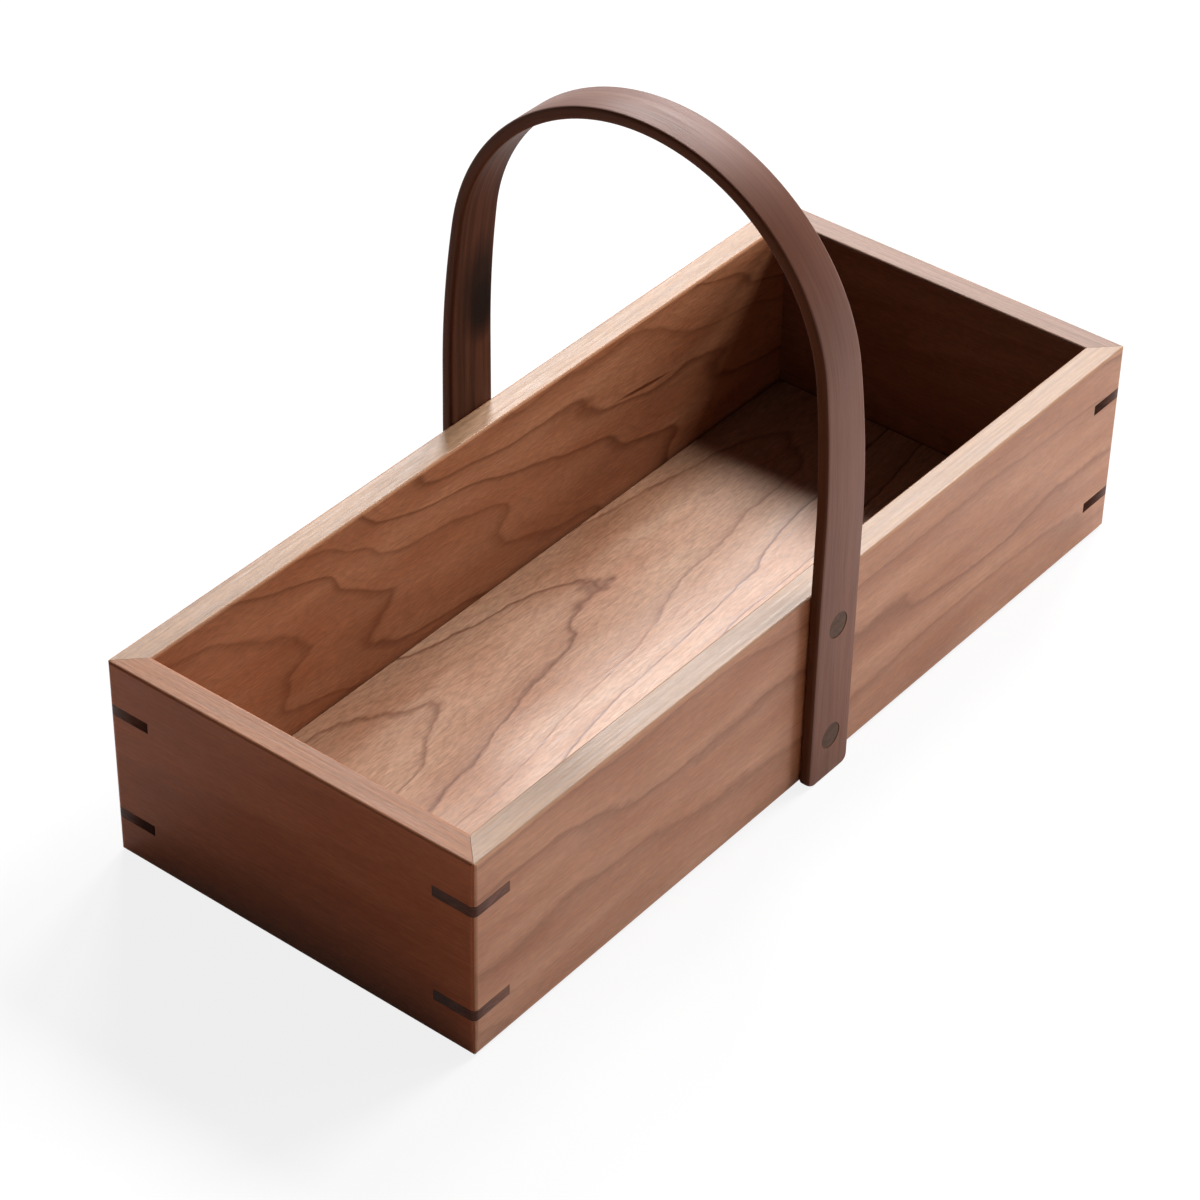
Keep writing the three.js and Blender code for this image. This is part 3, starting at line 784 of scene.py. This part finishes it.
def bow_tree():
    """A flat strip with eased edges along a path, slimmer at its top, with round feet and marked grain."""
    names = ("End width", "Crown width", "Thickness", "Easing", "Rim", "Top", "Foot", "Foot round")
    tree, sizes, done = new_tree("bent_bow", names, ("Wood", "Inner wood", "Shaded edge wood"))
    path = add(tree, "GeometryNodeMeshToCurve", {"Mesh": sizes["Geometry"]})
    sideways = {"Curve": path, "Normal": (1, 0, 0)}
    level = add(tree, "GeometryNodeSetCurveNormal", sideways, mode="FREE")
    run = add(tree, "GeometryNodeSplineParameter", give="Length")
    marks = {"Geometry": level, "Name": "run", "Value": run}
    measured = add(tree, "GeometryNodeStoreNamedAttribute", marks)
    sides = {"Width": sizes["End width"], "Height": sizes["Thickness"]}
    outline = add(tree, "GeometryNodeCurvePrimitiveQuadrilateral", sides)
    rounding = {"Curve": outline, "Count": EASING_STEPS, "Radius": sizes["Easing"]}
    section = add(tree, "GeometryNodeFilletCurve", rounding, mode="POLY")
    place = add(tree, "GeometryNodeInputPosition")
    axes = add(tree, "ShaderNodeSeparateXYZ", {0: place}, give=None).outputs
    half = add(tree, "ShaderNodeMath", {0: sizes["End width"], 1: 0.5}, operation="MULTIPLY")
    flat = add(tree, "ShaderNodeMath", {0: half, 1: sizes["Easing"]}, operation="SUBTRACT")
    outward = add(tree, "ShaderNodeMath", {0: axes["X"]}, operation="ABSOLUTE")
    eased = {"Value": outward, "From Min": flat, "From Max": half}
    turn = add(tree, "ShaderNodeMapRange", eased)
    for name, value in (("depth", axes["Y"]), ("turn", turn)):
        marks = {"Geometry": section, "Name": name, "Value": value}
        section = add(tree, "GeometryNodeStoreNamedAttribute", marks)
    sweep = {"Curve": measured, "Profile Curve": section, "Fill Caps": True}
    strip = add(tree, "GeometryNodeCurveToMesh", sweep)

    # The width shrinks smoothly from the rim to the top, and along a quarter circle at each foot.
    widths = {0: sizes["Crown width"], 1: sizes["End width"]}
    slim = add(tree, "ShaderNodeMath", widths, operation="DIVIDE")
    heights = {"Value": axes["Z"], "From Min": sizes["Rim"], "From Max": sizes["Top"]}
    shrink = heights | {"To Min": 1.0, "To Max": slim}
    taper = add(tree, "ShaderNodeMapRange", shrink, interpolation_type="SMOOTHSTEP")
    above = add(tree, "ShaderNodeMath", {0: axes["Z"], 1: sizes["Foot"]}, operation="SUBTRACT")
    below = {0: sizes["Foot round"], 1: above}
    missing = add(tree, "ShaderNodeMath", below, operation="SUBTRACT")
    short = add(tree, "ShaderNodeMath", {0: missing, 1: 0.0}, operation="MAXIMUM")
    squares = [
        add(tree, "ShaderNodeMath", {0: side, 1: 2.0}, operation="POWER")
        for side in (sizes["Foot round"], short)
    ]
    leg = add(tree, "ShaderNodeMath", {0: squares[0], 1: squares[1]}, operation="SUBTRACT")
    kept = add(tree, "ShaderNodeMath", {0: leg}, operation="SQRT")
    lost = add(tree, "ShaderNodeMath", {0: sizes["Foot round"], 1: kept}, operation="SUBTRACT")
    share = add(tree, "ShaderNodeMath", {0: lost, 1: sizes["End width"]}, operation="DIVIDE")
    foot = add(tree, "ShaderNodeMath", {0: share, 1: -2.0, 2: 1.0}, operation="MULTIPLY_ADD")
    width = add(tree, "ShaderNodeMath", {0: taper, 1: foot}, operation="MULTIPLY")
    across = add(tree, "ShaderNodeMath", {0: axes["X"], 1: width}, operation="MULTIPLY")
    moved = add(tree, "ShaderNodeCombineXYZ", {0: across, 1: axes["Y"], 2: axes["Z"]})
    shaped = add(tree, "GeometryNodeSetPosition", {"Geometry": strip, "Position": moved})

    # The grain is the place along, across and through the strip as it was before it was bent.
    kept_run = add(tree, "GeometryNodeInputNamedAttribute", {"Name": "run"})
    kept_depth = add(tree, "GeometryNodeInputNamedAttribute", {"Name": "depth"})
    grain = add(tree, "ShaderNodeCombineXYZ", {0: kept_run, 1: axes["X"], 2: kept_depth})
    marks = {"Geometry": shaped, "Name": "grain", "Value": grain}
    stored = {"data_type": "FLOAT_VECTOR", "domain": "CORNER"}
    marked = add(tree, "GeometryNodeStoreNamedAttribute", marks, **stored)
    real = add(tree, "GeometryNodeRealizeInstances", {"Geometry": marked})
    soft = add(tree, "GeometryNodeSetShadeSmooth", {"Geometry": real})
    inside = add(tree, "FunctionNodeCompare", {0: kept_depth, 1: 0.0}, operation="LESS_THAN")
    kept_turn = add(tree, "GeometryNodeInputNamedAttribute", {"Name": "turn"})
    edges = {0: kept_turn, 1: EDGE_ON}
    on_edge = add(tree, "FunctionNodeCompare", edges, operation="GREATER_THAN")
    dressed = add(tree, "GeometryNodeSetMaterial", {"Geometry": soft, "Material": sizes["Wood"]})
    # The inner face and the narrow edges get their own woods, both with painted shade.
    for where, wood in ((inside, "Inner wood"), (on_edge, "Shaded edge wood")):
        dress = {"Geometry": dressed, "Selection": where, "Material": sizes[wood]}
        dressed = add(tree, "GeometryNodeSetMaterial", dress)
    tree.links.new(dressed, done["Geometry"])
    return tree


class CARRYING_BOX_OT_bow(bpy.types.Operator):
    """Makes the bent handle with its peg holes"""

    bl_idname = "carrying_box.bow"
    bl_label = "Bent Handle"

    def execute(self, context):
        sizes = context.scene.box_sizes
        finishes = context.scene.box_finishes
        pale = finishes.walnut_pale
        body = finishes.walnut_body
        # The faces carry painted shade over the front bend; the inner face carries painted shade all along,
        # and a knot.
        wood = walnut_strip("walnut_face", FACE_POLISH, pale, body, finishes, FRONT_BEND_SHADE)
        inner = walnut_strip(
            "walnut_inner_face", INNER_POLISH, pale, body, finishes, INNER_PATCHES, shaded_inside=True
        )
        # The narrow edges are painted darker: painted shade on the sides of the strip.
        edge = walnut_strip("walnut_shaded_edge", EDGE_POLISH, finishes.shaded_edge_pale, finishes.shaded_edge_body, finishes)
        back = half_bow(sizes)
        front = [(x, -y, z) for x, y, z in reversed(back[:-1])]
        points = back + front
        bow = new_piece("bent_bow", points, [(i, i + 1) for i in range(len(points) - 1)])
        shape = {
            "End width": sizes.bow_end_width,
            "Crown width": sizes.bow_crown_width,
            "Thickness": sizes.bow_thickness,
            "Easing": sizes.bow_easing,
            "Rim": RIM,
            "Top": BOW_HIGH.z,
            "Foot": BOW_LOW.z,
            "Foot round": sizes.bow_foot_round,
            "Wood": wood,
            "Inner wood": inner,
            "Shaded edge wood": edge,
        }
        grow(bow, bow_tree(), shape)
        settle(bow)
        holes = peg_rods("peg_holes", peg_tree(), sizes, wood, extra_radius=sizes.glue_line)
        # The holes begin a glue line outside the strip, so that they cut right through its face.
        holes.data.transform(Matrix.Diagonal((1, 1 + sizes.glue_line / BOW_HIGH.y, 1, 1)))
        drill = bow.modifiers.new("peg holes", "BOOLEAN")
        drill.object = holes
        drill.operation = "DIFFERENCE"
        drill.solver = "EXACT"
        settle(bow)
        bpy.data.objects.remove(holes)
        bow.data.set_sharp_from_angle(angle=SHARP_EDGE)
        seat(bow, "walnut", "handle_bow")
        return {"FINISHED"}


def facing(azimuth, elevation):
    """The direction from the box to a lamp or camera: azimuth 0 is in front of it, 90 at its right."""
    around = math.radians(azimuth)
    up = math.radians(elevation)
    return Vector((math.sin(around) * math.cos(up), -math.cos(around) * math.cos(up), math.sin(up)))


def eye_rays(tree):
    """Which rays the camera sees straight, and which it sees straight or in the gloss."""
    rays = add(tree, "ShaderNodeLightPath", give=None).outputs
    straight = rays["Is Camera Ray"]
    mirrored = {0: rays["Is Glossy Ray"], 1: rays["Is Transmission Ray"]}
    mirrored = add(tree, "ShaderNodeMath", mirrored, operation="MAXIMUM")
    seen = add(tree, "ShaderNodeMath", {0: straight, 1: mirrored}, operation="MAXIMUM")
    return straight, seen


def pale_floor():
    """Matt white paper, lit evenly for the eye, with the box's soft shadow on it."""
    material, tree = new_finish("white_paper")
    straight, seen = eye_rays(tree)
    white = {"Value": straight, "To Min": PAPER_MIRRORED, "To Max": PAPER_SEEN}
    share = add(tree, "ShaderNodeMapRange", white)
    paper = add(tree, "ShaderNodeBsdfDiffuse", {"Color": (*linear(PAPER_COLOUR), 1)})
    glow = add(tree, "ShaderNodeEmission", {"Color": WHITE, "Strength": 1.0})
    shown = add(tree, "ShaderNodeMixShader", {0: share, 1: paper, 2: glow})
    warm = add(tree, "ShaderNodeBsdfDiffuse", {"Color": (*linear(BOUNCE_COLOUR), 1)})
    sheet = add(tree, "ShaderNodeMixShader", {0: seen, 1: warm, 2: shown})
    under = add(tree, "ShaderNodeNewGeometry", give="Backfacing")
    clear = add(tree, "ShaderNodeBsdfTransparent")
    whole = add(tree, "ShaderNodeMixShader", {0: under, 1: sheet, 2: clear})
    add(tree, "ShaderNodeOutputMaterial", {"Surface": whole}, give=None)
    return material


def white_room(scene):
    """A room that is white to the eye, mirrored with a dim ceiling, and lights the box only a little."""
    scene.world = bpy.data.worlds.new("white_room")
    scene.world.use_nodes = True
    tree = scene.world.node_tree
    tree.nodes.clear()
    straight, seen = eye_rays(tree)
    towards = add(tree, "ShaderNodeTexCoord", give="Generated")
    height = add(tree, "ShaderNodeSeparateXYZ", {0: towards}, give="Z")
    heights = {"Value": height, "From Min": CEILING_HEIGHTS[0], "From Max": CEILING_HEIGHTS[1]}
    fade = add(tree, "ShaderNodeMapRange", heights | {"To Min": 1.0, "To Max": ROOM_LIGHT})
    glow = add(tree, "ShaderNodeMath", {0: straight, 1: fade}, operation="MAXIMUM")
    dim = add(tree, "ShaderNodeBackground", {"Color": WHITE, "Strength": ROOM_LIGHT})
    white = add(tree, "ShaderNodeBackground", {"Color": WHITE, "Strength": glow})
    room = add(tree, "ShaderNodeMixShader", {0: seen, 1: dim, 2: white})
    add(tree, "ShaderNodeOutputWorld", {"Surface": room}, give=None)


class CARRYING_BOX_OT_stage(bpy.types.Operator):
    """Makes the floor, the lamps and the camera"""

    bl_idname = "carrying_box.stage"
    bl_label = "Stage"

    def execute(self, context):
        scene = context.scene
        half = FLOOR_SPAN / 2
        mesh = bpy.data.meshes.new("paper_floor")
        corners = [(-half, -half, 0), (half, -half, 0), (half, half, 0), (-half, half, 0)]
        mesh.from_pydata(corners, [], [(0, 1, 2, 3)])
        mesh.materials.append(pale_floor())
        floor = bpy.data.objects.new("paper_floor", mesh)
        scene.collection.objects.link(floor)

        middle = Vector((0, 0, RIM))
        for lamp in LAMPS:
            light = bpy.data.lights.new(lamp.name, "AREA")
            light.size = lamp.size
            light.energy = lamp.power
            source = bpy.data.objects.new(lamp.name, light)
            source.visible_glossy = lamp.mirrored
            towards = facing(lamp.azimuth, lamp.elevation)
            source.location = middle + towards * lamp.distance
            source.rotation_euler = towards.to_track_quat("Z", "Y").to_euler()
            scene.collection.objects.link(source)
        white_room(scene)

        data = bpy.data.cameras.new("camera")
        data.lens = CAMERA_LENS
        data.sensor_width = CAMERA_SENSOR
        camera = bpy.data.objects.new("camera", data)
        stand = Matrix.Translation(CAMERA_PLACE)
        aim = facing(CAMERA_AZIMUTH, CAMERA_ELEVATION).to_track_quat("Z", "Y").to_matrix().to_4x4()
        roll = Matrix.Rotation(math.radians(CAMERA_ROLL), 4, "Z")
        camera.matrix_world = stand @ aim @ roll
        scene.collection.objects.link(camera)
        scene.camera = camera
        scene.view_settings.view_transform = "Standard"
        return {"FINISHED"}


STEPS = (
    CARRYING_BOX_OT_boards,
    CARRYING_BOX_OT_splines,
    CARRYING_BOX_OT_bow,
    CARRYING_BOX_OT_pegs,
    CARRYING_BOX_OT_stage,
)


class VIEW3D_PT_carrying_box(bpy.types.Panel):
    """Lists the steps that make the box"""

    bl_label = "Carrying Box"
    bl_space_type = "VIEW_3D"
    bl_region_type = "UI"
    bl_category = "Box"

    def draw(self, context):
        for step in STEPS:
            self.layout.operator(step.bl_idname)
        for group in (context.scene.box_sizes, context.scene.box_finishes):
            for name in group.__annotations__:
                self.layout.prop(group, name)


CLASSES = (BoxSizes, BoxFinishes, *STEPS, VIEW3D_PT_carrying_box)


def register():
    """Makes the operators, the panel and the settings known to Blender."""
    for kind in CLASSES:
        bpy.utils.register_class(kind)
    bpy.types.Scene.box_sizes = bpy.props.PointerProperty(type=BoxSizes)
    bpy.types.Scene.box_finishes = bpy.props.PointerProperty(type=BoxFinishes)


def unregister():
    """Takes them out again."""
    del bpy.types.Scene.box_sizes
    del bpy.types.Scene.box_finishes
    for kind in reversed(CLASSES):
        bpy.utils.unregister_class(kind)


def main():
    """Makes every piece and the stage."""
    register()
    bpy.ops.carrying_box.boards()
    bpy.ops.carrying_box.splines()
    bpy.ops.carrying_box.bow()
    bpy.ops.carrying_box.pegs()
    bpy.ops.carrying_box.stage()
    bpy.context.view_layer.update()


if __name__ == "__main__":
    main()
